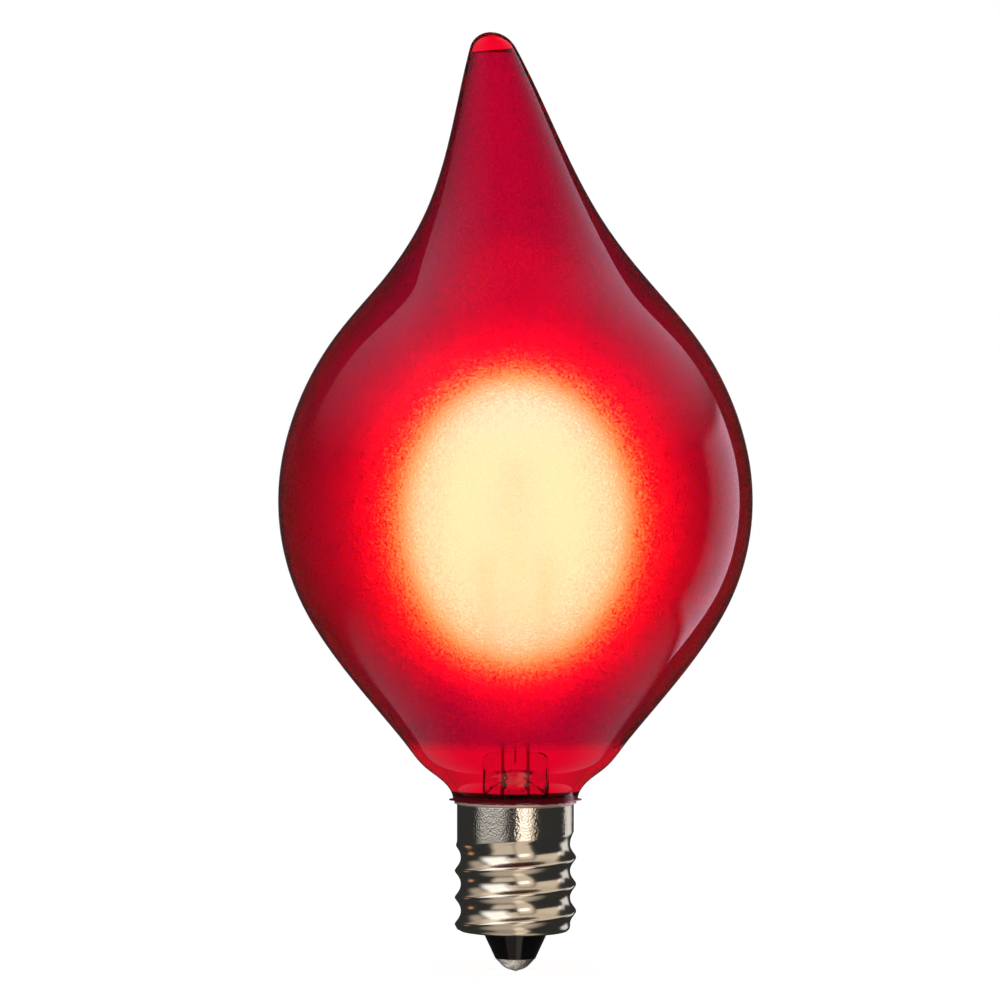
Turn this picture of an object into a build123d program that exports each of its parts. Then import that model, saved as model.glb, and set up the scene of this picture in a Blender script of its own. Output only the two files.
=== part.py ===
from build123d import *
import math
import os

# A red flame tip lamp on a candelabra screw base. Z runs along the lamp, from zero at the foot
# of the centre contact up to the tip, and X points to the side that the tip leans away from.

# Heights, stacked from the contact upwards
contact_height = 1.3
insulator_height = 2.5
shell_height = 12.2
seam_gap = 0.4
globe_height = 28.7
flame_height = 44.5

# Blown glass, seen from outside
globe_diameter = 45.0
globe_arc_bottom = -30.0
globe_arc_top = 12.0
seat_overhang = 0.38
throat_flare = 0.3
throat_rise = 1.3
shoulder_flare = 2.75
shoulder_rise = 3.5
cone_flare = 4.8
cone_rise = 6.0
cone_angle = 39.0
crown_inset = 5.2
crown_rise = 15.3
flank_diameter = 25.1
flank_rise = 21.0
waist_diameter = 17.1
waist_rise = 26.7
tip_diameter = 4.7
tip_half_angle = 22.0
tip_lean = -2.35
lean_rise = 20.3
lean_power = 1.5
throat_points = 9
cone_points = 7
globe_points = 6
flame_points = 16

# Blown glass, inside
glass_wall = 0.6
bead_height = 2.2
neck_depth = 5.0
neck_play = 0.67

# Screw shell, rolled from thin sheet
crest_diameter = 11.65
root_diameter = 10.3
thread_pitch = 2.54
thread_start = 0.71
groove_turns = 3
crest_land_angle = 8.0
crest_flat = 0.025
collar_diameter = 11.1
collar_height = 3.0
collar_taper = 1.1
shell_wall = 0.28
shell_floor_bevel = 0.5
floor_hole_diameter = 6.2
rim_bevel = 0.08

# Insulator and centre contact
contact_diameter = 3.86
insulator_play = 0.1
insulator_disc = 0.62
insulator_crown = 0.6
insulator_bore = 1.6
barrel_wall = 0.2
barrel_play = 0.05
barrel_height = 1.8
button_height = 0.68
button_face = 2.56
solder_nub = 0.6
solder_nub_height = 0.12
solder_plug = 0.8

# Glass stem. Each press ring has its share of the pinch's height, the full width and thickness.
stem_play = 0.5
stem_wall = 0.5
flare_lip = 0.5
flare_rise = 1.8
flare_slope = 0.35
pinch_rise = 5.5
pinch_hollow = 1.1
press_rise = 10.0
press_thickness = 2.4
press_rings = ((0.6, 1.0, 1.0), (0.9, 0.95, 0.9), (1.0, 0.75, 0.6))
exhaust_wall = 0.3
exhaust_hole = 0.7

# Wires and filament
lead_diameter = 0.32
lead_spacing = 2.4
lead_play = 0.15
lead_bend = 0.64
lead_hook = 1.6
lead_straight = 1.3
lead_tail = 0.55
lead_drop = 1.2
support_diameter = 0.16
support_root = 1.2
loop_play = 0.07
filament_diameter = 0.3
filament_width = 5.2
filament_reach = 10.5
filament_drop = 5.2
filament_bend = 0.6

# Seam and rim
cement_inset = 0.2
lacquer_reach = 0.25
flash_reach = 0.32
flash_thickness = 0.12
flash_sharpness = 8
flash_waves = 10
flash_wave_share = 0.3
flash_points = 48
rim_solder_diameter = 1.5

# Levels and radii that follow from the sizes above
shell_bottom_z = contact_height + insulator_height
shell_floor_z = shell_bottom_z + shell_wall
rim_z = shell_bottom_z + shell_height
seat_z = rim_z + seam_gap
globe_z = rim_z + globe_height
tip_z = globe_z + flame_height
neck_bottom_z = rim_z - neck_depth
globe_radius = globe_diameter / 2
tip_radius = tip_diameter / 2
crest_radius = crest_diameter / 2
root_radius = root_diameter / 2
collar_radius = collar_diameter / 2
shell_bore = root_radius - shell_wall
neck_radius = shell_bore - neck_play
neck_bore = neck_radius - glass_wall
seat_radius = collar_radius + seat_overhang
stem_radius = neck_bore - stem_play
pinch_z = neck_bottom_z + pinch_rise
hollow_top_z = pinch_z + pinch_hollow
press_top_z = neck_bottom_z + press_rise
lead_radius = lead_diameter / 2
lead_x = lead_spacing / 2
exhaust_radius = lead_x - lead_radius - lead_play
insulator_top_z = shell_floor_z + insulator_disc + insulator_crown
lead_bend_z = insulator_top_z + lead_tail + lead_drop
exhaust_bottom_z = lead_bend_z + lead_play
filament_z = globe_z - filament_drop

parts_folder = "parts"


def save(shape, node):
    export_step(shape, os.path.join(parts_folder, node + ".step"))


def outlined(*curves):
    return make_face([edge for curve in curves for edge in curve.edges()])


def turned(*curves):
    return revolve(outlined(*curves), Axis.Z)


def upright(radius, height, bottom_z):
    return Pos(0, 0, bottom_z) * Cylinder(radius, height, align=(Align.CENTER, Align.CENTER, Align.MIN))


def at(radius, z):
    return Vector(radius, 0, z)


def slope(angle):
    radians = math.radians(angle)
    return Vector(-math.sin(radians), 0, math.cos(radians))


def on_globe(angle):
    radians = math.radians(angle)
    return at(globe_radius * math.cos(radians), globe_z + globe_radius * math.sin(radians))


# Half outline of the glass, and the sideways lean of its axis towards the tip

tip_ring = at(tip_radius * math.cos(math.radians(tip_half_angle)),
              tip_z - tip_radius * (1 - math.sin(math.radians(tip_half_angle))))
cone_foot = at(seat_radius + cone_flare, rim_z + cone_rise)
throat_outline = Spline(
    at(seat_radius, seat_z),
    at(seat_radius + throat_flare, rim_z + throat_rise),
    at(seat_radius + shoulder_flare, rim_z + shoulder_rise),
    cone_foot,
    tangents=[slope(0), slope(-cone_angle)],
)
cone_outline = Spline(
    cone_foot,
    on_globe(globe_arc_bottom),
    tangents=[slope(-cone_angle), slope(globe_arc_bottom)],
)
globe_outline = ThreePointArc(on_globe(globe_arc_bottom), on_globe(0), on_globe(globe_arc_top))
flame_outline = Spline(
    on_globe(globe_arc_top),
    at(globe_radius - crown_inset, globe_z + crown_rise),
    at(flank_diameter / 2, globe_z + flank_rise),
    at(waist_diameter / 2, globe_z + waist_rise),
    tip_ring,
    tangents=[slope(globe_arc_top), slope(tip_half_angle)],
)
stretches = (
    (throat_outline, throat_points),
    (cone_outline, cone_points),
    (globe_outline, globe_points),
    (flame_outline, flame_points),
)


def lean(z):
    start_z = globe_z + lean_rise
    share = max(0.0, (z - start_z) / (tip_z - start_z))
    return tip_lean * share ** lean_power


def blown_form(inset):
    rings = []
    for outline, count in stretches:
        for step in range(count + (outline is flame_outline)):
            along = outline % (step / count)
            inward = Vector(-along.Z, 0, along.X)
            point = outline @ (step / count) + inward * inset
            rings.append(Pos(lean(point.Z), 0, point.Z) * Circle(point.X))
    return loft(rings)


def glass_envelope():
    bead = Pos(lean(tip_ring.Z), 0, tip_z - tip_radius) * Sphere(tip_radius)
    cap = split(bead, Plane.XY.offset(tip_ring.Z), keep=Keep.TOP)
    neck = upright(neck_radius, seat_z + glass_wall - neck_bottom_z, neck_bottom_z)
    hollow = split(blown_form(glass_wall), Plane.XY.offset(seat_z + glass_wall), keep=Keep.TOP)
    hollow = split(hollow, Plane.XY.offset(tip_z - bead_height), keep=Keep.BOTTOM)
    bore = upright(neck_bore, seat_z + 2 * glass_wall - neck_bottom_z, neck_bottom_z)
    return blown_form(0) + cap + neck - hollow - bore


# The rolled thread is a wave of equal crest and root arcs, cut as a helical groove that lifts out
# of the metal at its end. The same form, inset by the sheet's thickness, is the inside of the shell.

def groove_section(inset):
    half_pitch = thread_pitch / 2
    depth = crest_radius - root_radius
    roll_radius = (half_pitch ** 2 + depth ** 2) / (4 * depth)
    crest_centre = at(crest_radius - roll_radius, half_pitch)
    root_centre = at(root_radius + roll_radius, 0)
    crest_roll = roll_radius - inset
    land = at(crest_centre.X + crest_roll * math.cos(math.radians(crest_land_angle)),
              half_pitch - crest_roll * math.sin(math.radians(crest_land_angle)))
    flank = crest_centre + (root_centre - crest_centre).normalized() * crest_roll
    root = at(root_radius - inset, 0)
    below = [Vector(point.X, 0, -point.Z) for point in (flank, land)]
    outside = crest_radius + depth
    wave = Spline(land, flank, root, *below, tangents=[-slope(-crest_land_angle), -slope(crest_land_angle)])
    close = Polyline(below[1], at(outside, -land.Z), at(outside, land.Z), land)
    return outlined(wave, close)


def groove(inset):
    section = groove_section(inset)
    half_pitch = thread_pitch / 2
    lift_angle = math.degrees(math.atan((crest_radius - root_radius) / half_pitch))
    lift_pitch = thread_pitch / math.cos(math.radians(lift_angle))
    half_turn = sweep(section, path=Helix(thread_pitch, half_pitch, root_radius), is_frenet=True)
    lift = Helix(lift_pitch, half_pitch, root_radius, cone_angle=lift_angle)
    run_out = sweep(section, path=lift, is_frenet=True)
    start_z = shell_bottom_z + thread_start
    halves = 2 * groove_turns
    cuts = [Pos(0, 0, start_z + half * half_pitch) * Rot(0, 0, 180 * half) * half_turn
            for half in range(-1, halves)]
    return cuts + [Pos(0, 0, start_z + halves * half_pitch) * run_out]


def threaded_form(inset, top_z):
    floor_z = shell_bottom_z + inset
    corner = root_radius - inset
    crest = crest_radius - crest_flat - inset
    collar_z = rim_z - collar_height
    form = Rot(0, 0, 90) * turned(Polyline(
        at(0, floor_z),
        at(corner - shell_floor_bevel, floor_z),
        at(corner, floor_z + shell_floor_bevel),
        at(crest, floor_z + shell_floor_bevel + (crest - corner) / 2),
        at(crest, collar_z - collar_taper),
        at(collar_radius - inset, collar_z),
        at(collar_radius - inset, top_z),
        at(0, top_z),
        close=True,
    ))
    for cut in groove(inset):
        form -= cut
    return form


def screw_shell(hollow):
    sheet = threaded_form(0, rim_z) - hollow
    sheet -= upright(floor_hole_diameter / 2, 2 * shell_wall, shell_bottom_z - shell_wall / 2)
    rim_edges = sheet.edges().filter_by(GeomType.CIRCLE).group_by(Axis.Z)[-1]
    return chamfer(rim_edges, rim_bevel)


def insulator():
    bore = insulator_bore / 2
    foot = contact_diameter / 2
    waist = floor_hole_diameter / 2
    disc = shell_bore - shell_floor_bevel - insulator_play
    disc_z = shell_floor_z + insulator_disc
    return turned(Polyline(
        at(bore, contact_height),
        at(foot, contact_height),
        at(waist, shell_bottom_z),
        at(waist, shell_floor_z),
        at(disc, shell_floor_z),
        at(disc, disc_z),
        at(foot, insulator_top_z),
        at(bore, insulator_top_z),
        close=True,
    ))


def contact_button():
    barrel = insulator_bore / 2 - barrel_play
    bore = barrel - barrel_wall
    face_z = contact_height - button_height
    return turned(Polyline(
        at(bore, face_z),
        at(button_face / 2, face_z),
        at(contact_diameter / 2, contact_height),
        at(barrel, contact_height),
        at(barrel, contact_height + barrel_height),
        at(bore, contact_height + barrel_height),
        close=True,
    ))


def contact_solder(lead):
    plug = insulator_bore / 2 - barrel_play - barrel_wall
    face_z = contact_height - button_height
    sag = face_z - solder_nub_height
    dome_radius = ((button_face / 2) ** 2 + sag ** 2) / (2 * sag)
    dome = Pos(0, 0, solder_nub_height + dome_radius) * Sphere(dome_radius)
    dome = split(dome, Plane.XY.offset(face_z), keep=Keep.BOTTOM)
    nub = Pos(0, 0, solder_nub / 2) * Sphere(solder_nub / 2)
    return dome + nub + upright(plug, solder_plug, face_z) - lead


# The stem: a flared tube sealed to the neck, pinched shut round the wires

def stem(*wires):
    mouth_z = neck_bottom_z - flare_lip
    tube_z = neck_bottom_z + flare_rise
    bore = stem_radius - stem_wall
    outer = Spline(at(neck_bore, neck_bottom_z), at(stem_radius, tube_z),
                   tangents=[Vector(-1, 0, flare_slope), slope(0)])
    inner = Spline(at(bore, tube_z - flare_lip), at(neck_radius - stem_wall, mouth_z),
                   tangents=[-slope(0), Vector(1, 0, -flare_slope)])
    tube_wall = Polyline(
        at(stem_radius, tube_z),
        at(stem_radius, pinch_z),
        at(bore, pinch_z),
        at(bore, tube_z - flare_lip),
    )
    lip = Polyline(
        at(neck_radius - stem_wall, mouth_z),
        at(neck_radius, mouth_z),
        at(neck_radius, neck_bottom_z),
        at(neck_bore, neck_bottom_z),
    )
    tube = turned(outer, tube_wall, inner, lip)
    pinch = press_top_z - pinch_z
    rings = [Pos(0, 0, pinch_z) * Circle(stem_radius)]
    for rise, width, thickness in press_rings:
        ring = Ellipse(width * stem_radius, thickness * press_thickness / 2)
        rings.append(Pos(0, 0, pinch_z + rise * pinch) * ring)
    hollow = loft([
        Pos(0, 0, pinch_z) * Circle(bore),
        Pos(0, 0, hollow_top_z) * Ellipse(bore - lead_play, exhaust_radius + lead_play),
    ])
    side_hole = Rot(90, 0, 0) * upright(exhaust_hole / 2, stem_radius, 0)
    duct_z = hollow_top_z + stem_wall
    duct = upright(exhaust_hole / 2, stem_wall, hollow_top_z) + Pos(0, 0, duct_z) * side_hole
    return tube + (loft(rings) - hollow) - duct - list(wires)


def exhaust_tube():
    bore = exhaust_radius - exhaust_wall
    tip = Pos(0, 0, exhaust_bottom_z + exhaust_radius) * Sphere(exhaust_radius)
    length = hollow_top_z - exhaust_bottom_z - exhaust_radius
    tube = upright(exhaust_radius, length, exhaust_bottom_z + exhaust_radius) + tip
    return tube - upright(bore, length, exhaust_bottom_z + exhaust_radius)


# Filament, an inverted V of fine coil, and the wires that carry it

left_end = Vector(-filament_width / 2, 0, filament_z)
right_end = Vector(filament_width / 2, 0, filament_z)
filament_peak = Vector(0, 0, filament_z + filament_reach)
filament_line = FilletPolyline(left_end, filament_peak, right_end, radius=filament_bend)


def wire(diameter, points, radii):
    path = FilletPolyline(*points, radius=radii)
    section = Plane(origin=path @ 0, z_dir=path % 0) * Circle(diameter / 2)
    return sweep(section, path=path)


def filament():
    section = Plane(origin=filament_line @ 0, z_dir=filament_line % 0) * Circle(filament_diameter / 2)
    return sweep(section, path=filament_line)


def lead_head(end, side_x):
    run = (filament_peak - end).normalized()
    return [end, end - run * lead_hook, Vector(side_x, 0, press_top_z + lead_straight)]


def contact_lead():
    tail_z = insulator_top_z + lead_tail
    points = lead_head(left_end, -lead_x) + [
        Vector(-lead_x, 0, lead_bend_z),
        Vector(0, 0, tail_z),
        Vector(0, 0, contact_height - button_height),
    ]
    return wire(lead_diameter, points, lead_bend)


def rim_exit():
    radius = neck_radius + neck_play / 2
    return Vector(lead_x, math.sqrt(radius ** 2 - lead_x ** 2), 0)


def shell_lead():
    up = rim_exit()
    turn_z = neck_bottom_z - flare_lip - lead_bend
    seam_z = rim_z + seam_gap / 2
    outward = up.normalized() * (collar_radius + lead_diameter)
    points = lead_head(right_end, lead_x) + [
        Vector(lead_x, 0, turn_z),
        Vector(lead_x, up.Y, turn_z),
        Vector(up.X, up.Y, seam_z),
        Vector(outward.X, outward.Y, seam_z),
    ]
    return wire(lead_diameter, points, [lead_bend] * 4 + [lead_bend / 2])


def support_wire():
    loop_radius = (filament_diameter + support_diameter) / 2 + loop_play
    peak = filament_line @ 0.5
    foot_z = press_top_z - support_root
    loop = Pos(peak) * Rot(0, 90, 0) * Torus(loop_radius, support_diameter / 2)
    return upright(support_diameter / 2, peak.Z - loop_radius - foot_z, foot_z) + loop


# What joins the glass to the shell

def rim_solder(lead):
    out = rim_exit().normalized() * (collar_radius + lead_radius)
    blob = Pos(out.X, out.Y, rim_z - lead_radius) * Sphere(rim_solder_diameter / 2)
    blob = split(blob, Plane.XY.offset(seat_z), keep=Keep.BOTTOM)
    return blob - upright(collar_radius, shell_height, shell_bottom_z) - lead


def basing_cement(hollow, lead):
    ring = upright(crest_radius, collar_height - 2 * cement_inset, rim_z - collar_height + cement_inset)
    return (ring & hollow) - upright(neck_radius, neck_depth, neck_bottom_z) - lead


def lacquer_ring(solder, lead):
    radius = collar_radius + lacquer_reach
    inner = collar_radius - shell_wall
    root = (inner + radius) / 2
    flash = []
    for point in range(flash_points):
        angle = 2 * math.pi * point / flash_points
        lobe = abs(math.cos(angle)) ** flash_sharpness
        ragged = 1 + flash_wave_share * math.cos(flash_waves * angle)
        reach = root + (radius - root + flash_reach) * lobe * ragged
        flash.append(Vector(reach * math.cos(angle), reach * math.sin(angle)))
    film = extrude(outlined(Spline(*flash, periodic=True)), flash_thickness)
    ring = upright(radius, seam_gap, rim_z) + Pos(0, 0, seat_z - flash_thickness) * film
    return ring - upright(inner, seam_gap, rim_z) - solder - lead


os.makedirs(parts_folder, exist_ok=True)
left_lead = contact_lead()
right_lead = shell_lead()
support = support_wire()
solder_spot = rim_solder(right_lead)
shell_hollow = threaded_form(shell_wall, rim_z + shell_wall)
save(glass_envelope(), "glass_envelope")
save(stem(left_lead, right_lead, support), "stem")
save(exhaust_tube(), "exhaust_tube")
save(left_lead, "contact_lead")
save(right_lead, "shell_lead")
save(support, "support_wire")
save(filament(), "filament")
save(screw_shell(shell_hollow), "screw_shell")
save(insulator(), "insulator")
save(contact_button(), "contact_button")
save(contact_solder(left_lead), "contact_solder")
save(solder_spot, "rim_solder")
save(basing_cement(shell_hollow, right_lead), "basing_cement")
save(lacquer_ring(solder_spot, right_lead), "lacquer_ring")
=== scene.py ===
import math
import bpy
import numpy as np
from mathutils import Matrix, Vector


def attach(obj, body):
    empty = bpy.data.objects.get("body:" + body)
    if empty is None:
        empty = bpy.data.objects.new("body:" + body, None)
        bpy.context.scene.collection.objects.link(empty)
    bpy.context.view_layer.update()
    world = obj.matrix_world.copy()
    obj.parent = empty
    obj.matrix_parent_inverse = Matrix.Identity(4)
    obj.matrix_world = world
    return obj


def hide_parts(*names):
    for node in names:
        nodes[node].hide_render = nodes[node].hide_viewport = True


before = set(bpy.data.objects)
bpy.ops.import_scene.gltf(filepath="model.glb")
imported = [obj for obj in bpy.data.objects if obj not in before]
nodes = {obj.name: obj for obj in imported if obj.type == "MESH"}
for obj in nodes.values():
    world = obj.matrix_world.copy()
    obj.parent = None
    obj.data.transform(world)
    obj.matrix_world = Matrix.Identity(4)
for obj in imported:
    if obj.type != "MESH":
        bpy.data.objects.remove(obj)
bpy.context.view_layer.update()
mm = 0.001
print("frame loaded,", len(nodes), "nodes")


class Term:  # one output of a node, and sums on it add Math nodes
    def __init__(self, graph, socket):
        self.graph = graph
        self.socket = socket

    def __getitem__(self, name):  # another output of the same node
        return Term(self.graph, self.socket.node.outputs[name])

    def calc(self, operation, *terms):
        return self.graph.node("Math", {"operation": operation}, dict(enumerate(terms)))

    def __add__(self, other):
        return self.calc("ADD", self, other)

    def __radd__(self, other):
        return self.calc("ADD", other, self)

    def __sub__(self, other):
        return self.calc("SUBTRACT", self, other)

    def __rsub__(self, other):
        return self.calc("SUBTRACT", other, self)

    def __mul__(self, other):
        return self.calc("MULTIPLY", self, other)

    def __rmul__(self, other):
        return self.calc("MULTIPLY", other, self)

    def __abs__(self):
        return self.calc("ABSOLUTE", self)

    def atLeast(self, other):
        return self.calc("MAXIMUM", self, other)

    def atMost(self, other):
        return self.calc("MINIMUM", self, other)


class Graph:  # the nodes of a material, a lamp or the world
    def __init__(self, owner):
        owner.use_nodes = True
        self.owner = owner
        self.tree = owner.node_tree
        self.tree.nodes.clear()

    def node(self, kind, settings=None, sockets=None):
        made = self.tree.nodes.new("ShaderNode" + kind)
        for name, value in (settings or {}).items():
            setattr(made, name, value)
        for name, value in (sockets or {}).items():
            if isinstance(value, Term):
                self.tree.links.new(value.socket, made.inputs[name])
            else:
                made.inputs[name].default_value = value
        return Term(self, made.outputs[0]) if made.outputs else None

    def place(self):  # where a point is in the part's frame, in metres
        return self.node("TexCoord")["Object"]

    def height(self):
        return self.node("SeparateXYZ", None, {"Vector": self.place()})["Z"]

    def noise(self, grain, detail=2.0, roughness=0.5, stretch=(1, 1, 1)):  # grain in mm
        mapped = self.node("Mapping", None, {"Vector": self.place(), "Scale": stretch})
        inputs = {"Vector": mapped, "Scale": 1 / (grain * mm), "Detail": detail, "Roughness": roughness}
        return self.node("TexNoise", None, inputs)

    def ease(self, value, low, high):  # smooth step from 0 to 1
        limits = {"Value": value, "From Min": low, "From Max": high}
        return self.node("MapRange", {"interpolation_type": "SMOOTHSTEP"}, limits)

    def blend(self, share, first, second):  # colours
        first, second = [c if isinstance(c, Term) else (*c, 1) for c in (first, second)]
        return self.node("Mix", {"data_type": "RGBA"}, {0: share, 6: first, 7: second})[2]

    def bump(self, height, depth, strength=1.0):  # depth in mm
        return self.node("Bump", None, {"Height": height, "Distance": depth * mm, "Strength": strength})

    def principled(self, sockets):
        return self.node("BsdfPrincipled", None, sockets)

    def surface(self, shader):
        self.node("OutputMaterial", None, {"Surface": shader})
        return self.owner


def finish(name):
    return Graph(bpy.data.materials.new(name))


def addMesh(name, points, faces, materials, faceSlots=None, sharp=40):
    mesh = bpy.data.meshes.new(name)
    mesh.from_pydata([tuple(p) for p in points], [], faces)
    for material in materials:
        mesh.materials.append(material)
    if faceSlots is not None:
        mesh.polygons.foreach_set("material_index", faceSlots)
    mesh.shade_smooth()
    mesh.set_sharp_from_angle(angle=math.radians(sharp))
    made = bpy.data.objects.new(name, mesh)
    bpy.context.scene.collection.objects.link(made)
    return made


def bandFaces(first, second, segments):  # between two rings of points
    faces = []
    for k in range(segments):
        n = (k + 1) % segments
        faces.append((first + k, first + n, second + n, second + k))
    return faces


def fanFaces(centre, first, segments):  # from a ring to the point that closes it
    return [(centre, first + k, first + (k + 1) % segments) for k in range(segments)]


def flipped(faces):
    return [face[::-1] for face in faces]


def smoothLine(points, start, end, count):  # cubic line through points, with its directions at both ends
    p = np.array(points, float)
    t = np.concatenate([[0], np.cumsum(np.linalg.norm(np.diff(p, axis=0), axis=1))])
    size = len(p)
    rows = np.zeros((size, size))
    sums = np.zeros((size, 2))
    rows[0, 0] = rows[-1, -1] = 1
    sums[0], sums[-1] = start, end
    for i in range(1, size - 1):
        before, after = t[i] - t[i - 1], t[i + 1] - t[i]
        rows[i, i - 1:i + 2] = after, 2 * (before + after), before
        sums[i] = 3 * (after * (p[i] - p[i - 1]) / before + before * (p[i + 1] - p[i]) / after)
    slopes = np.linalg.solve(rows, sums)
    where = np.linspace(0, t[-1], count)
    i = np.clip(np.searchsorted(t, where, side="right") - 1, 0, size - 2)
    span = (t[i + 1] - t[i])[:, None]
    u = ((where - t[i])[:, None]) / span
    ends = p[i] * (2 * u**3 - 3 * u**2 + 1) + p[i + 1] * (3 * u**2 - 2 * u**3)
    return ends + span * (slopes[i] * (u**3 - 2 * u**2 + u) + slopes[i + 1] * (u**3 - u**2))


def slopeOf(angle):
    return np.array([-math.sin(math.radians(angle)), math.cos(math.radians(angle))])


# glass envelope, measures in mm
glass = {
    "rimZ": 16.0, "seatZ": 16.4, "seatR": 5.93,
    "throat": (0.3, 1.3), "shoulder": (2.75, 3.5), "cone": (4.8, 6.0),  # out from the seat, up from the rim
    "coneAngle": 39.0, "globeZ": 44.7, "globeR": 22.5, "arcLow": -30.0, "arcHigh": 12.0,
    "crown": (17.3, 15.3), "flank": (12.55, 21.0), "waist": (8.55, 26.7),  # radius and rise above the globe
    "tipR": 2.35, "tipZ": 89.2, "tipAngle": 22.0, "lean": -2.35, "leanRise": 20.3, "leanPower": 1.5,
    "neck": ((4.2, 11.0), (4.2, 13.6), (5.0, 15.0), (5.0, 16.4)),
    "bore": ((3.6, 11.0), (3.6, 13.6), (4.4, 15.0), (4.45, 16.0), (4.95, 16.55)),
    "wall": 0.6, "bead": 2.2, "segments": 128,
    "rows": {"throat": 28, "cone": 20, "globe": 24, "flame": 64, "tip": 12},
    "ior": 1.5, "tint": (0.85, 0.0005, 0.018), "edgeTint": (0.48, 0.0002, 0.006),
    "thinTint": (1.0, 0.0005, 0.028), "thinEdge": (0.85, 0.0004, 0.012),
    "thickZ": 41.0, "thinFrom": (6.0, 16.0),  # the tint is lighter away from this height: painted light, for a brighter glow toward the tip and the neck
    "lacquer": (0.55, 0.006, 0.03), "lacquerZ": (16.5, 17.0), "lacquerWave": (0.6, 0.5), "lacquerGloss": 0.25,
    "clear": (1.0, 0.12, 1.0), "clearGloss": 0.01,
    "frostZ": 22.0, "frostEdge": 0.8, "frostGrain": 0.22, "frostBump": (0.05, 0.35), "frostSparkle": 0.75,
    "frost": (  # red light spreads widest
        ("Glass", "GGX", (0.83, 0, 0), 0.49),
        ("Refraction", "BECKMANN", (0, 1, 0), 0.40),
        ("Refraction", "BECKMANN", (0, 0, 1), 0.34),
    ),
}


def leanAt(z):
    start = glass["globeZ"] + glass["leanRise"]
    share = np.clip((z - start) / (glass["tipZ"] - start), 0, None)
    return glass["lean"] * share ** glass["leanPower"]


def onGlobe(angle):
    turn = math.radians(angle)
    return glass["globeR"] * math.cos(turn), glass["globeZ"] + glass["globeR"] * math.sin(turn)


def blownOutline():  # radius and height, from the seat up to the round tip
    g, rows = glass, glass["rows"]
    foot = (g["seatR"] + g["cone"][0], g["rimZ"] + g["cone"][1])
    tipTurn = math.radians(g["tipAngle"])
    tipRing = (g["tipR"] * math.cos(tipTurn), g["tipZ"] - g["tipR"] * (1 - math.sin(tipTurn)))
    coneWay = slopeOf(-g["coneAngle"])
    throat = smoothLine([
        (g["seatR"], g["seatZ"]),
        (g["seatR"] + g["throat"][0], g["rimZ"] + g["throat"][1]),
        (g["seatR"] + g["shoulder"][0], g["rimZ"] + g["shoulder"][1]),
        foot,
    ], slopeOf(0), coneWay, rows["throat"])
    cone = smoothLine([foot, onGlobe(g["arcLow"])], coneWay, slopeOf(g["arcLow"]), rows["cone"])
    globe = np.array([onGlobe(a) for a in np.linspace(g["arcLow"], g["arcHigh"], rows["globe"])])
    flame = smoothLine([
        onGlobe(g["arcHigh"]),
        (g["crown"][0], g["globeZ"] + g["crown"][1]),
        (g["flank"][0], g["globeZ"] + g["flank"][1]),
        (g["waist"][0], g["globeZ"] + g["waist"][1]),
        tipRing,
    ], slopeOf(g["arcHigh"]), slopeOf(g["tipAngle"]), rows["flame"])
    return np.concatenate([throat[:-1], cone[:-1], globe[:-1], flame])


def tipCap():
    angles = np.linspace(math.radians(glass["tipAngle"]), math.pi / 2, glass["rows"]["tip"])[1:-1]
    centre = glass["tipZ"] - glass["tipR"]
    return np.array([(glass["tipR"] * math.cos(a), centre + glass["tipR"] * math.sin(a)) for a in angles])


def insetOutline(outline):  # one wall further in, up to the solid bead at the tip
    along = np.gradient(outline, axis=0)
    along /= np.linalg.norm(along, axis=1)[:, None]
    inner = outline + glass["wall"] * np.stack([-along[:, 1], along[:, 0]], axis=1)
    endZ = glass["tipZ"] - glass["bead"]
    keep = (inner[:, 1] > glass["seatZ"] + glass["wall"]) & (inner[:, 1] < endZ)
    endR = np.interp(endZ, outline[:, 1], outline[:, 0]) - glass["wall"]
    return np.concatenate([inner[keep], [(endR, endZ)]])


def ringPoints(profile, segments):
    angles = np.linspace(0, 2 * math.pi, segments, endpoint=False)
    r, z = profile[:, 0, None], np.repeat(profile[:, 1, None], segments, axis=1)
    x = r * np.cos(angles) + leanAt(z)
    y = r * np.sin(angles) + 0 * z
    return np.stack([x, y, z], axis=2).reshape(-1, 3) * mm


def onAxis(z):
    return leanAt(z) * mm, 0, z * mm


def makeGlass(skin, lining):
    segments = glass["segments"]
    outline = blownOutline()
    outer = np.concatenate([glass["neck"], outline, tipCap()])
    inner = np.concatenate([glass["bore"], insetOutline(outline)])
    ends = [onAxis(glass["tipZ"]), onAxis(inner[-1, 1])]
    points = np.concatenate([ringPoints(outer, segments), ringPoints(inner, segments), ends])
    base = len(outer) * segments
    top = base + len(inner) * segments
    faces = []
    for ring in range(len(outer) - 1):
        faces += bandFaces(ring * segments, (ring + 1) * segments, segments)
    faces += fanFaces(top, base - segments, segments)
    slots = [0] * len(faces)
    for ring in range(len(inner) - 1):
        first = base + ring * segments
        faces += flipped(bandFaces(first, first + segments, segments))
    faces += flipped(fanFaces(top + 1, top - segments, segments))
    faces += flipped(bandFaces(0, base, segments))
    slots += [1] * (len(faces) - len(slots))
    made = addMesh("glassEnvelope", points, faces, [skin, lining], slots)
    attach(made, "root")
    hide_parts("glass_envelope")
    return made


def frosted(g, height):  # the frost ends softly above the neck
    low, high = glass["frostZ"] - glass["frostEdge"], glass["frostZ"] + glass["frostEdge"]
    return g.ease(height, low * mm, high * mm)


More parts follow.
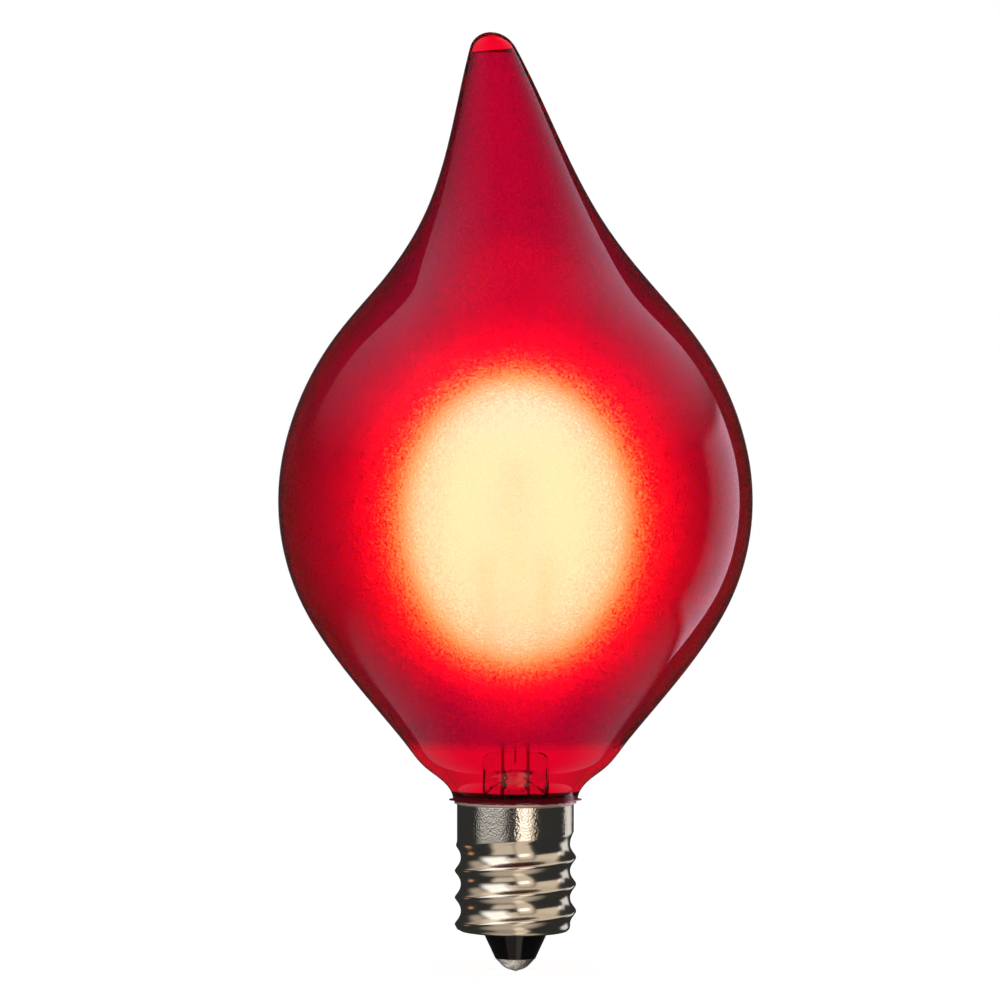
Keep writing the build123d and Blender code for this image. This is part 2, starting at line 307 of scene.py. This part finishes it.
def redSkin():
    g = finish("redSkin")
    height = g.height()
    near, far = glass["thinFrom"]
    # painted light: the glass is tinted lighter away from the middle height, so the glow shows brighter
    # toward the tip and the neck
    paintedGlow = g.ease(abs(height - glass["thickZ"] * mm), near * mm, far * mm)
    face = g.blend(paintedGlow, glass["tint"], glass["thinTint"])
    edge = g.blend(paintedGlow * frosted(g, height), glass["edgeTint"], glass["thinEdge"])
    tone = g.blend(g.node("LayerWeight")["Facing"], face, edge)
    skin = g.principled({
        "Base Color": tone, "Roughness": 0.0, "IOR": glass["ior"], "Transmission Weight": 1.0,
    })
    paint = g.principled({"Base Color": (*glass["lacquer"], 1), "Roughness": glass["lacquerGloss"]})
    low, high = glass["lacquerZ"]
    grain, reach = glass["lacquerWave"]
    bare = g.ease(height + reach * mm * (g.noise(grain, 3.0) - 0.5), low * mm, high * mm)
    return g.surface(g.node("MixShader", None, {0: bare, 1: paint, 2: skin}))


def frostedLining():
    g = finish("frostedLining")
    frost = frosted(g, g.height())
    grain = g.noise(glass["frostGrain"])
    normal = g.bump(grain * frost, *glass["frostBump"])
    cloudy = None
    for kind, spreadBy, colour, spread in glass["frost"]:
        lobe = g.node("Bsdf" + kind, {"distribution": spreadBy}, {
            "Color": (*colour, 1), "Roughness": spread + glass["frostSparkle"] * (grain - 0.5),
            "IOR": glass["ior"], "Normal": normal,
        })
        cloudy = g.node("AddShader", None, {0: cloudy, 1: lobe}) if cloudy else lobe
    clear = g.node("BsdfGlass", None, {
        "Color": (*glass["clear"], 1), "Roughness": glass["clearGloss"], "IOR": glass["ior"],
    })
    return g.surface(g.node("MixShader", None, {0: frost, 1: clear, 2: cloudy}))


glassMade = makeGlass(redSkin(), frostedLining())
print("glass envelope made")


def loftMesh(name, rings, material, ends=()):  # rings of points, closed by two end points or into a loop
    segments = len(rings[0])
    points = np.concatenate([*rings, *[[end] for end in ends]])
    faces = []
    for ring in range(len(rings) - 1):
        faces += bandFaces(ring * segments, (ring + 1) * segments, segments)
    count = len(rings) * segments
    if ends:
        faces += flipped(fanFaces(count, 0, segments))
        faces += fanFaces(count + 1, count - segments, segments)
    else:
        faces += bandFaces(count - segments, 0, segments)
    made = addMesh(name, points, faces, [material])
    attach(made, "root")
    return made


def ovalRing(a, b, z, segments, flutes=0.0):
    turn = np.linspace(0, 2 * math.pi, segments, endpoint=False)
    swell = 1 + flutes * (np.cos(9 * turn + 0.7) + 0.6 * np.cos(14 * turn + 2.1))
    return np.stack([a * swell * np.cos(turn), b * swell * np.sin(turn), 0 * turn + z], axis=1) * mm


def roundRing(radius, z, segments):
    return ovalRing(radius, radius, z, segments)


def tubeMesh(name, path, radius, sides, material):  # round wire along a path
    along = np.gradient(path, axis=0)
    along /= np.linalg.norm(along, axis=1)[:, None]
    side = np.cross(along[0], (0.3, 1.0, 0.1))  # any direction off the wire's own
    turn = np.linspace(0, 2 * math.pi, sides, endpoint=False)
    rings = []
    for point, way in zip(path, along):
        side = side - way * side.dot(way)
        side /= np.linalg.norm(side)
        up = np.cross(way, side)
        rings.append((point + radius * (np.outer(np.cos(turn), side) + np.outer(np.sin(turn), up))) * mm)
    return loftMesh(name, rings, material, (path[0] * mm, path[-1] * mm))


# stem, a drawn tube pinched flat at its top, in mm
stem = {
    "tube": ((4.2, 10.5), (4.2, 11.0), (3.6, 11.02), (3.36, 11.4), (3.18, 12.0), (3.1, 12.8), (3.1, 14.6)),
    "wide": ((3.1, 16.5), (3.1, 19.2), (2.945, 20.55), (2.33, 21.0)),
    "thick": ((3.1, 16.5), (1.2, 19.2), (1.08, 20.55), (0.72, 21.0)),
    "topWay": (-0.9, 0.4), "topRise": 0.12, "topShares": (0.7, 0.35, 0.05),  # how the flat top closes
    "hollow": (  # half width, half depth and height
        (0.4, 0.12, 18.75), (1.35, 0.4, 18.5), (2.0, 0.72, 18.05), (2.38, 1.2, 17.4), (2.55, 1.95, 16.7),
        (2.6, 2.6, 15.8), (2.6, 2.6, 12.3), (2.8, 2.8, 11.4), (3.7, 3.7, 10.5),
    ),
    "flutes": 0.03, "flutesZ": (16.0, 18.0), "rows": 24, "segments": 96,
    "ior": 1.12, "streak": 0.35, "streakStretch": (1, 1, 0.06), "streakBump": (0.06, 0.8),
    "dim": (0.80, 0.82, 0.80), "bright": (0.96, 0.98, 0.96),
}


def makeStem(material):
    segments = stem["segments"]
    wide = smoothLine(stem["wide"], (0, 1), stem["topWay"], stem["rows"])
    thick = smoothLine(stem["thick"], (0, 1), stem["topWay"], stem["rows"])
    press = [(a, np.interp(z, thick[:, 1], thick[:, 0]), z) for a, z in wide]
    rings = [roundRing(r, z, segments) for r, z in stem["tube"]]
    low, high = stem["flutesZ"]
    for a, b, z in press:
        rings.append(ovalRing(a, b, z, segments, stem["flutes"] * min(1, (z - low) / (high - low))))
    topA, topB, topZ = press[-1]
    for share in stem["topShares"]:
        rings.append(ovalRing(topA * share, topB * share, topZ + stem["topRise"] * (1 - share**2), segments))
    a, b, z = stem["hollow"][0]
    closed = stem["topShares"][-1]
    rings.append(ovalRing(a * closed, b * closed, z, segments))
    rings += [ovalRing(a, b, z, segments) for a, b, z in stem["hollow"]]
    made = loftMesh("pinchedStem", rings, material)
    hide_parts("stem")


def clearGlass():
    g = finish("clearGlass")
    streaks = g.noise(stem["streak"], stretch=stem["streakStretch"])
    return g.surface(g.principled({
        "Base Color": g.blend(streaks, stem["dim"], stem["bright"]), "Roughness": 0.0, "IOR": stem["ior"],
        "Transmission Weight": 1.0, "Normal": g.bump(streaks, *stem["streakBump"]),
    }))


# cement between the neck and the collar, in mm
cement = {
    "ring": (
        (5.25, 13.3), (5.25, 15.6), (5.1, 15.8), (5.02, 15.7), (5.02, 15.0), (4.25, 13.65), (4.25, 13.2),
    ),
    "segments": 64, "grit": 0.3, "gritBump": (0.1, 0.6), "roughness": 0.85,
    "dark": (0.10, 0.075, 0.05), "pale": (0.26, 0.20, 0.14),
}


def makeCement(material):
    rings = [roundRing(r, z, cement["segments"]) for r, z in cement["ring"]]
    made = loftMesh("neckCement", rings, material)
    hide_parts("basing_cement")


def basingCement():
    g = finish("basingCement")
    grit = g.noise(cement["grit"], 4.0, 0.7)
    return g.surface(g.principled({
        "Base Color": g.blend(grit, cement["dark"], cement["pale"]), "Roughness": cement["roughness"],
        "Normal": g.bump(grit, *cement["gritBump"]),
    }))


# threaded shell rolled from thin sheet, with a plain collar at its top, in mm
shell = {
    "foot": 3.8, "hole": 3.1, "floorEdge": 4.55, "floorR": 4.65, "skirtZ": 4.34, "skirtBends": (0, 30, 60),
    "root": 5.2, "crest": 5.77, "pitch": 2.54, "grooveZ": 4.51, "turns": 3, "tip": 0.25, "bow": 0.6,
    "collar": 5.55, "collarZ": (11.6, 12.5), "topZ": 15.85, "wall": 0.28, "rows": 240, "segments": 128,
    "lip": ((5.55, 15.9), (5.52, 15.96), (5.46, 16.0), (5.33, 16.0), (5.28, 15.96)),
    "pebble": 0.17, "pebbleDepth": 0.05, "pebbleBump": (0.05, 0.33), "pebbleZ": (12.6, 13.4),
    "wear": 1.4, "worn": (0.80, 0.73, 0.64), "bright": (0.90, 0.85, 0.77), "roughness": (0.16, -0.02),
}


def rolledRadius(turn, z):  # ridges between helical grooves, and the last groove runs out into the collar
    s = shell
    rise = np.clip((z - s["collarZ"][0]) / (s["collarZ"][1] - s["collarZ"][0]), 0, 1)
    edge = s["crest"] + (s["collar"] - s["crest"]) * rise**2 * (3 - 2 * rise)
    turns = (z - s["grooveZ"]) / s["pitch"]
    groove = np.round(turns - turn / (2 * math.pi)) + turn / (2 * math.pi)
    fromRidge = np.hypot(1 - 2 * np.abs(turns - groove), s["tip"]) - s["tip"]
    along = np.sqrt(fromRidge / (math.hypot(1, s["tip"]) - s["tip"]))  # 0 on a ridge and 1 in a groove
    fall = 0.5 - 0.5 * np.arcsin(s["bow"] * np.cos(math.pi * along)) / math.asin(s["bow"])
    depth = np.cos(math.pi / 2 * np.clip(2 * (groove - s["turns"]), 0, 1)) ** 2
    return edge - (edge - s["root"]) * fall * depth


def makeShell(material):
    s, segments = shell, shell["segments"]
    turn = np.linspace(0, 2 * math.pi, segments, endpoint=False)
    skirt = rolledRadius(turn, s["skirtZ"])
    profile = [(s["hole"], s["foot"]), (s["floorEdge"], s["foot"])]
    for bend in np.radians(s["skirtBends"]):  # the sheet turns in at its foot
        drop = (s["skirtZ"] - s["foot"]) * math.cos(bend)
        profile.append((s["floorR"] + (skirt - s["floorR"]) * math.sin(bend), s["skirtZ"] - drop))
    heights = np.linspace(s["skirtZ"], s["topZ"], s["rows"])
    profile += [(rolledRadius(turn, z), z) for z in heights]
    profile += s["lip"]
    profile += [(rolledRadius(turn, z) - s["wall"], z) for z in heights[:6:-4]]  # fewer rows do inside
    floorZ = s["foot"] + s["wall"]
    profile += [(s["floorR"] - s["wall"], floorZ), (s["hole"], floorZ)]
    made = loftMesh("threadedShell", [roundRing(r, z, segments) for r, z in profile], material)
    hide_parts("screw_shell")
    return made


def nickel():
    g, s = finish("nickel"), shell
    low, high = s["pebbleZ"]
    collar = g.ease(g.height(), low * mm, high * mm)
    plain, more = s["pebbleBump"]  # the collar is rougher than the rolled thread
    gloss, change = s["roughness"]
    return g.surface(g.principled({
        "Base Color": g.blend(g.noise(s["wear"], 3.0), s["worn"], s["bright"]), "Metallic": 1.0,
        "Roughness": gloss + change * collar,
        "Normal": g.bump(g.noise(s["pebble"], 0.0), s["pebbleDepth"], plain + more * collar),
    }))


# coil filament, in mm
coil = {
    "half": 2.6, "foot": 39.5, "rise": 10.5, "bend": 0.6, "bendSteps": 13,
    "radius": 0.125, "wire": 0.026, "wireSides": 5, "pitch": 0.11, "steps": 12,
    "metal": (0.35, 0.33, 0.31), "roughness": 0.4, "patch": 0.2, "heat": 6.0,
    "warm": (1.0, 0.62, 0.25), "hot": (1.0, 0.78, 0.45),
}


def coilSpine():  # an inverted V with a round top, and how far each of its points is along it
    foot = np.array((coil["half"], 0, coil["foot"]))
    peak = np.array((0, 0, coil["foot"] + coil["rise"]))
    slope = (peak - foot) / np.linalg.norm(peak - foot)
    lean = math.atan2(slope[2], -slope[0])
    joint = peak - slope * coil["bend"] * math.tan(lean)
    centre = np.array((0, 0, joint[2] - coil["bend"] * math.cos(lean)))
    angles = np.linspace(lean, -lean, coil["bendSteps"])
    arc = [centre + coil["bend"] * np.array((math.sin(a), 0, math.cos(a))) for a in angles]
    line = np.array([foot, *arc, foot * (-1, 1, 1)])
    return line, np.concatenate([[0], np.cumsum(np.linalg.norm(np.diff(line, axis=0), axis=1))])


def makeCoil(material):
    line, run = coilSpine()
    turns = run[-1] / coil["pitch"]
    where = np.linspace(0, run[-1], int(turns * coil["steps"]))
    spine = np.stack([np.interp(where, run, line[:, k]) for k in range(3)], axis=1)
    along = np.gradient(spine, axis=0)
    along /= np.linalg.norm(along, axis=1)[:, None]
    across = np.array((0.0, 1.0, 0.0))
    other = np.cross(along, across)
    turn = np.linspace(0, 2 * math.pi * turns, len(spine))[:, None]
    path = spine + coil["radius"] * (np.cos(turn) * across + np.sin(turn) * other)
    made = tubeMesh("coilFilament", path, coil["wire"], coil["wireSides"], material)
    made.visible_shadow = False  # the lamps of the glow stand round it
    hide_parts("filament")


def hotTungsten():
    g = finish("hotTungsten")
    return g.surface(g.principled({
        "Base Color": (*coil["metal"], 1), "Metallic": 1.0, "Roughness": coil["roughness"],
        "Emission Color": g.blend(g.noise(coil["patch"]), coil["warm"], coil["hot"]),
        "Emission Strength": coil["heat"],
    }))


# weld knots on the two leads, in mm
knots = {
    "spots": ((-1.06, -0.2, 18.15), (1.04, -0.15, 18.05)), "size": (0.24, 0.2, 0.42), "lumps": 0.3,
    "rings": 13, "lastRing": 80, "segments": 20,
}


def makeKnots(material):
    wide, deep, tall = knots["size"]
    turn = np.linspace(0, 2 * math.pi, knots["segments"], endpoint=False)
    for number, spot in enumerate(np.array(knots["spots"])):
        rings = []
        for rise in np.radians(np.linspace(-knots["lastRing"], knots["lastRing"], knots["rings"])):
            lump = 1 + knots["lumps"] * np.sin(3 * turn + 5 * rise + number) * np.cos(2 * rise + 2 * number)
            x = wide * lump * np.cos(turn) * math.cos(rise)
            y = deep * lump * np.sin(turn) * math.cos(rise)
            z = tall * math.sin(rise) + 0 * turn
            rings.append((spot + np.stack([x, y, z], axis=1)) * mm)
        ends = [(spot + (0, 0, side * tall)) * mm for side in (-1, 1)]
        made = loftMesh("weldKnot%d" % number, rings, material, ends)


# plain metals: colour, roughness, size of the lumps and their depth in mm
metals = {
    "eyelet": ((0.92, 0.90, 0.86), 0.3, 0.45, 0.2),
    "solder": ((1.0, 1.0, 1.0), 0.3, 0.4, 0.35),
    "leadWire": ((0.55, 0.50, 0.44), 0.3, 0.25, 0.01),
    "weldMetal": ((0.9, 0.72, 0.5), 0.3, 0.2, 0.04),
}


def plainMetal(name):
    colour, roughness, lumps, depth = metals[name]
    g = finish(name)
    grain = g.noise(lumps, 3.0, 0.6)
    dull = [c * 0.7 for c in colour]
    return g.surface(g.principled({
        "Base Color": g.blend(grain, dull, colour), "Metallic": 1.0,
        "Roughness": roughness * (0.7 + 0.6 * grain), "Normal": g.bump(grain, depth, 0.8),
    }))


# insulator of black glass
insulator = {
    "patch": 0.8, "dark": (0.006, 0.006, 0.007), "pale": (0.014, 0.014, 0.016), "gloss": 0.08, "ior": 1.52,
}


def blackGlass():
    g = finish("blackGlass")
    tone = g.blend(g.noise(insulator["patch"]), insulator["dark"], insulator["pale"])
    return g.surface(g.principled({
        "Base Color": tone, "Roughness": insulator["gloss"], "IOR": insulator["ior"],
    }))


# lacquer in the seam, in mm
seam = {
    "patch": 0.5, "patchBump": (0.06, 0.5), "dark": (0.14, 0.002, 0.010), "red": (0.40, 0.006, 0.030),
    "rim": (0.78, 0.62, 0.58), "rimZ": (16.36, 16.28), "rimWave": 0.25, "rimMetal": 0.6,
    "roughness": (0.2, 0.3),
}


def lacquer():
    g = finish("lacquer")
    patches = g.noise(seam["patch"], 3.0)
    covered, bareZ = seam["rimZ"]  # the rim shows under the lacquer's edge
    bare = g.ease(g.height() + seam["rimWave"] * mm * patches, covered * mm, bareZ * mm)
    red = g.blend(patches, seam["dark"], seam["red"])
    gloss, change = seam["roughness"]
    return g.surface(g.principled({
        "Base Color": g.blend(bare, red, seam["rim"]), "Roughness": gloss + change * bare,
        "Metallic": seam["rimMetal"] * bare, "Normal": g.bump(patches, *seam["patchBump"]),
    }))


def dress(material, *names):
    for name in names:
        mesh = nodes[name].data
        mesh.materials.clear()
        mesh.materials.append(material)


shellMade = makeShell(nickel())
dress(blackGlass(), "insulator")
dress(plainMetal("eyelet"), "contact_button")
dress(plainMetal("solder"), "contact_solder", "rim_solder")
stemGlass = clearGlass()
makeStem(stemGlass)
dress(stemGlass, "exhaust_tube")
dress(plainMetal("leadWire"), "contact_lead", "shell_lead", "support_wire")
makeKnots(plainMetal("weldMetal"))
makeCoil(hotTungsten())
makeCement(basingCement())
dress(lacquer(), "lacquer_ring")
print("stem, filament and base made")

# studio: lens in mm, pixels of the photograph, lengths in metres and angles in degrees
studio = {
    "lens": 151.0, "sensor": 36.0, "imageSide": 1000, "axisPixel": 515.4, "groundPixel": 971.5,
    "pixelsPerMm": 10.53, "dimWorld": 0.03, "floorHalf": 1.5, "floorWhite": 0.92, "floorGrey": 0.8,
    "sun": 0.5, "sunSpread": 70, "cardReach": 0.5, "cardSteps": (24, 17),
}
# cards of light: degrees round from the camera and up from level, soft edges and brightness
glassCards = {
    "leftSoftbox": {"round": (-127, -20), "up": (13, 88), "soft": (36, 36), "fade": 1.3, "light": 0.75},
    "leftMirror": {"round": (-142, -90), "up": (-70, -30), "soft": (20, 4), "fade": 1.2, "light": 0.36},
    "rightSoftbox": {"round": (136, 30), "up": (16, 88), "soft": (16, 36), "fade": 3.2, "light": 1.45},
    "rightStrip": {"round": (136, 104), "up": (-33, 17.9), "soft": (3, 0.1), "fade": 0.8, "light": 2.0},
    "rightMirror": {"round": (141, 90), "up": (-70, -33.1), "soft": (20, 4), "fade": 1.2, "light": 0.45},
}
baseCards = {
    "leftWindow": {"round": (-84, -12), "up": (-16, 60), "soft": (26, 14), "sides": 16, "light": 1.2},
    "stripCore": {"round": (2, 32), "up": (-16, 18), "soft": (8, 8), "sides": 7, "light": 0.85},
    "hookTop": {"round": (98, 124), "up": (0, 26), "soft": (8, 8), "sides": 5, "light": 0.6},
    "hookFoot": {"round": (112, 148), "up": (-28, 8), "soft": (8, 8), "sides": 6, "light": 0.75},
}
contactCards = {
    "footLight": {"round": (-150, 60), "up": (-85, -10), "soft": (30, 20), "sides": 40, "light": 0.9},
}
warmCards = {
    "ceiling": {"round": (-135, 118), "up": (40, 89), "soft": (14, 1), "sides": 20, "light": 0.7},
    "strip": {"round": (2, 40), "up": (-80, 46), "soft": (10, 10), "sides": 5, "light": 0.65},
    "middleHigh": {"round": (-20, 4), "up": (14, 52), "soft": (8, 10), "sides": 4, "light": 0.6},
    "rightHigh": {"round": (38, 112), "up": (4, 50), "soft": (10, 10), "sides": 10, "light": 0.65},
    "leftHigh": {"round": (-128, -76), "up": (8, 60), "soft": (16, 8), "sides": 16, "light": 0.4},
    "table": {"round": (-56, 8), "up": (-64, -14), "soft": (16, 8), "sides": 12, "light": 0.6},
    "below": {"round": (-180, 180), "up": (-89, -56), "soft": (2, 14), "sides": 0.1, "light": 0.45},
}
copperCards = {
    "glint": {"round": (-122, -100), "up": (-36, -18), "soft": (6, 6), "sides": 6, "light": 0.6},
}
cardSets = (  # what each set of cards lights, and its colour
    ("glass", glassCards, (1.0, 0.66, 0.86)),
    ("base", baseCards, (1.0, 0.99, 0.97)),
    ("contact", contactCards, (1.0, 1.0, 1.0)),
    ("base", warmCards, (1.0, 0.84, 0.66)),
    ("base", copperCards, (1.0, 0.45, 0.2)),
)
glow = {  # oval lamps stand round the lit coil and face outwards, in mm, with rim as a share of their size
    "middle": (0.1, 42.95), "half": (10.6, 13.2), "spread": 90, "radiance": 6.9,
    "colour": (0.45, 1.0, 0.084), "rimColour": (0.45, 1.0, 0.0), "rim": (0.87, 1.04),
    "rings": ((0, 8, 1.0), (55, 3, 0.8)),  # degrees up, lamps in the ring and share of light
    "wash": ((62.5, 6.5, 0.36), (27.5, 4.2, 0.56)),  # thrown back by the frost: height, radius, strength
    "washColour": (1.0, 0.0, 0.0), "mirrored": 0.05,
}


def makeCamera():
    s = studio
    side, scale = s["imageSide"], mm / s["pixelsPerMm"]  # metres for each pixel
    cam = bpy.data.cameras.new("camera")
    cam.lens = s["lens"]
    cam.sensor_width = s["sensor"]
    made = bpy.data.objects.new("camera", cam)
    distance = s["lens"] / s["sensor"] * side * scale
    made.location = ((side / 2 - s["axisPixel"]) * scale, -distance, (s["groundPixel"] - side / 2) * scale)
    made.rotation_euler = (math.pi / 2, 0, 0)
    bpy.context.scene.collection.objects.link(made)
    bpy.context.scene.camera = made


def unmirrored(path):  # 1 until a ray has been mirrored
    return 1 - (1 - glow["mirrored"]) * path["Glossy Depth"].atMost(1)


def makeWorld():
    world = bpy.data.worlds.new("studio")
    bpy.context.scene.world = world
    g = Graph(world)
    path = g.node("LightPath")
    seen = path["Is Camera Ray"].atLeast(path["Is Transmission Ray"] * unmirrored(path))
    strength = studio["dimWorld"] + (1 - studio["dimWorld"]) * seen
    shader = g.node("Background", None, {"Color": (1, 1, 1, 1), "Strength": strength})
    g.node("OutputWorld", None, {"Surface": shader})


def lightSet(name, members):  # what a set of cards lights
    group = bpy.data.collections.new(name)
    for member in members:
        group.objects.link(member)


def wayTo(turn, rise):  # from the lamp, turned round from the camera and raised from level
    return Vector((math.sin(turn) * math.cos(rise), -math.cos(turn) * math.cos(rise), math.sin(rise)))


def makeCard(name, card, lit, colour):
    steps, rows = studio["cardSteps"]
    start, stop = card["round"]
    low, high = card["up"]
    middle = Vector((0, 0, glass["globeZ"] * mm))
    points, faces, shine = [], [], []
    for share in np.linspace(0, 1, steps):
        turn = math.radians(start + (stop - start) * share)
        if "fade" in card:
            side = (1 - share) ** card["fade"]
        else:
            side = min(min(share, 1 - share) * abs(stop - start) / card["sides"], 1)
        for up in np.linspace(low, high, rows):
            points.append(studio["cardReach"] * wayTo(turn, math.radians(up)) + middle)
            edge = min((up - low) / card["soft"][0], (high - up) / card["soft"][1], 1)
            shine.append(card["light"] * side * edge)
    for k in range(steps - 1):
        for j in range(rows - 1):
            corner = k * rows + j
            faces.append((corner, corner + 1, corner + rows + 1, corner + rows))
    g = finish(name)
    strength = g.node("Attribute", {"attribute_name": "shine"})["Fac"]
    light = g.node("Emission", None, {"Color": (*colour, 1), "Strength": strength})
    clear = g.node("BsdfTransparent")  # cards don't hide each other
    shader = g.node("AddShader", None, {0: light, 1: clear})
    made = addMesh(name, points, faces, [g.surface(shader)])
    made.data.attributes.new("shine", "FLOAT", "POINT").data.foreach_set("value", shine)
    made.visible_camera = False
    made.visible_transmission = False
    made.light_linking.receiver_collection = bpy.data.collections[lit]


def makeFloor():
    half, grey = studio["floorHalf"], studio["floorGrey"]
    corners = [(-half, -half, 0), (half, -half, 0), (half, half, 0), (-half, half, 0)]
    g = finish("whiteFloor")
    path = g.node("LightPath")
    through = path["Is Transmission Ray"]
    white = g.node("Emission", None, {"Strength": through + studio["floorWhite"] * path["Is Camera Ray"]})
    plain = g.node("BsdfDiffuse", None, {"Color": (grey, grey, grey, 1)})
    shaded = g.node("AddShader", None, {0: white, 1: plain})  # keeps a faint shadow
    shader = g.node("MixShader", None, {0: through, 1: shaded, 2: white})
    made = addMesh("floor", corners, [(0, 1, 2, 3)], [g.surface(shader)])
    made.visible_glossy = False
    lightSet("floor", [made])
    lamp = bpy.data.lights.new("floorLight", "SUN")
    lamp.energy = studio["sun"]
    lamp.angle = math.radians(studio["sunSpread"])
    sun = bpy.data.objects.new("floorLight", lamp)
    sun.light_linking.receiver_collection = bpy.data.collections["floor"]
    bpy.context.scene.collection.objects.link(sun)


def addLamp(kind, height, colour, rimColour):
    lamp = bpy.data.lights.new("glow", kind)
    g = Graph(lamp)
    spot = g.node("NewGeometry")["Parametric"]
    fromMiddle = g.node("VectorMath", {"operation": "DISTANCE"}, {0: spot, 1: (0.5, 0.5, 0)})["Value"]
    tone = g.blend(g.ease(2 * fromMiddle, *glow["rim"]), colour, rimColour)
    shader = g.node("Emission", None, {"Color": tone, "Strength": unmirrored(g.node("LightPath"))})
    g.node("OutputLight", None, {"Surface": shader})
    made = bpy.data.objects.new("glow", lamp)
    made.location = Vector((glow["middle"][0], 0, height)) * mm
    bpy.context.scene.collection.objects.link(made)
    return made


def makeGlow():
    wide, tall = glow["half"]
    for up, count, share in glow["rings"]:
        rise = math.radians(up)
        seenTall = math.hypot(wide * math.sin(rise), tall * math.cos(rise))
        for k in range(count):
            made = addLamp("AREA", glow["middle"][1], glow["colour"], glow["rimColour"])
            made.rotation_euler = wayTo(2 * math.pi * k / count, rise).to_track_quat("-Z", "Y").to_euler()
            made.data.shape = "ELLIPSE"
            made.data.size = 2 * wide * mm
            made.data.size_y = 2 * seenTall * mm
            made.data.spread = math.radians(glow["spread"])
            made.data.energy = share * glow["radiance"] * math.pi * made.data.size * made.data.size_y
    for height, radius, strength in glow["wash"]:
        made = addLamp("POINT", height, glow["washColour"], glow["washColour"])
        made.data.shadow_soft_size = radius * mm
        made.data.use_soft_falloff = False
        made.data.energy = strength * (2 * math.pi * radius * mm) ** 2


makeCamera()
makeWorld()
makeFloor()
contactNodes = [nodes["contact_button"], nodes["contact_solder"]]
lightSet("glass", [glassMade, nodes["lacquer_ring"]])
lightSet("base", [shellMade, nodes["insulator"], nodes["rim_solder"], nodes["lacquer_ring"], *contactNodes])
lightSet("contact", contactNodes)
for lit, cards, colour in cardSets:
    for name, card in cards.items():
        makeCard(name, card, lit, colour)
makeGlow()
bpy.context.scene.view_settings.view_transform = "Standard"
print("studio made")
